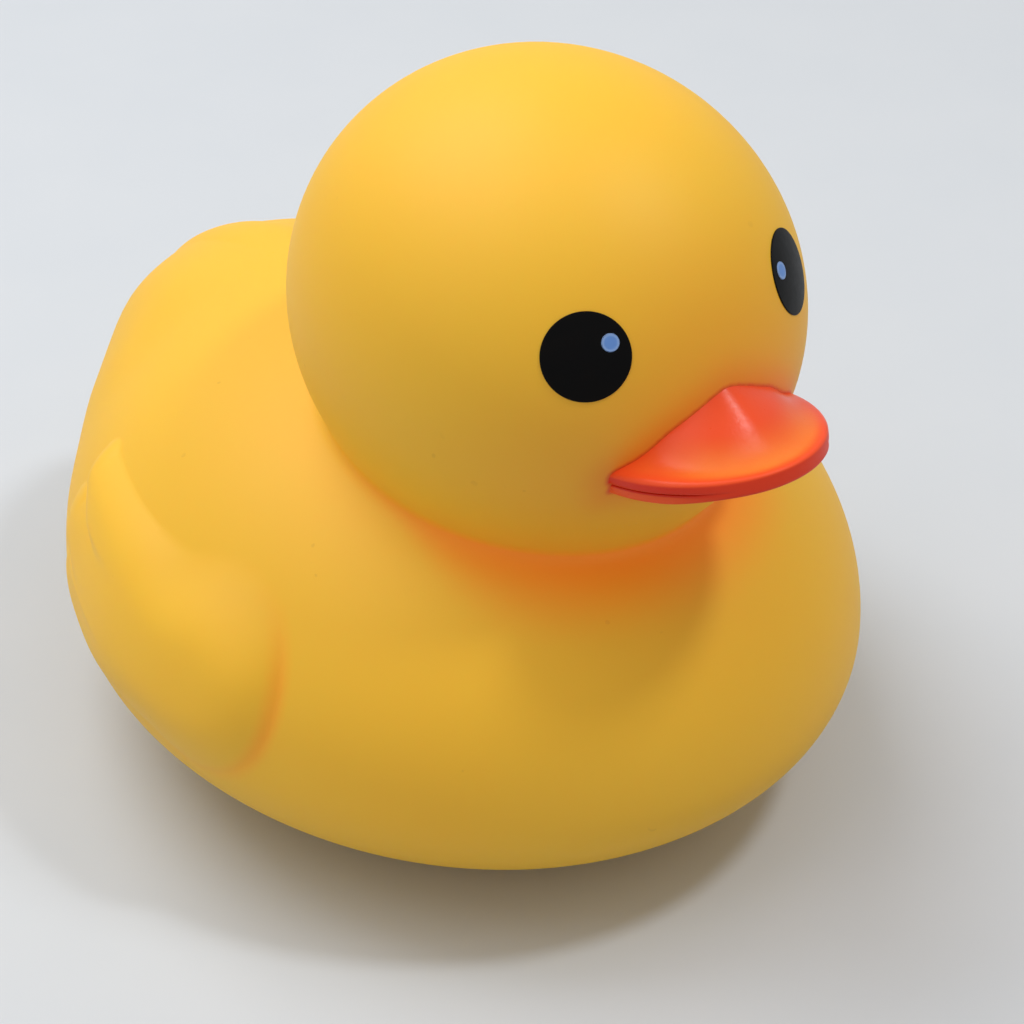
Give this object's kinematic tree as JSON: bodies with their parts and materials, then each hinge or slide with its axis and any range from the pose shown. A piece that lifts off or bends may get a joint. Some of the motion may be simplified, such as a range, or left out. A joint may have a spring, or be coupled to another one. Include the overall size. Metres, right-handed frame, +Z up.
{
  "type": "rubber duck",
  "caption": "Hollow vinyl rubber duck with a round head, flat painted bill, printed eyes, raised wings and a lobed tail, standing on a flat foot.",
  "frame": {"origin": "under the middle of the whole duck, at the level of its flat foot", "axes": "+Z up, -Y the way the bill points, +Y the tail, +X the duck's left"},
  "size_m": [0.145, 0.1801, 0.1419],
  "materials": {
    "yellow_vinyl": "satin",
    "bill_paint": "semi-gloss paint",
    "eye_ink": "printed",
    "eye_dot_ink": "printed"
  },
  "bodies": {
    "root": {"duck_shell": "yellow_vinyl"}
  },
  "joints": []
}
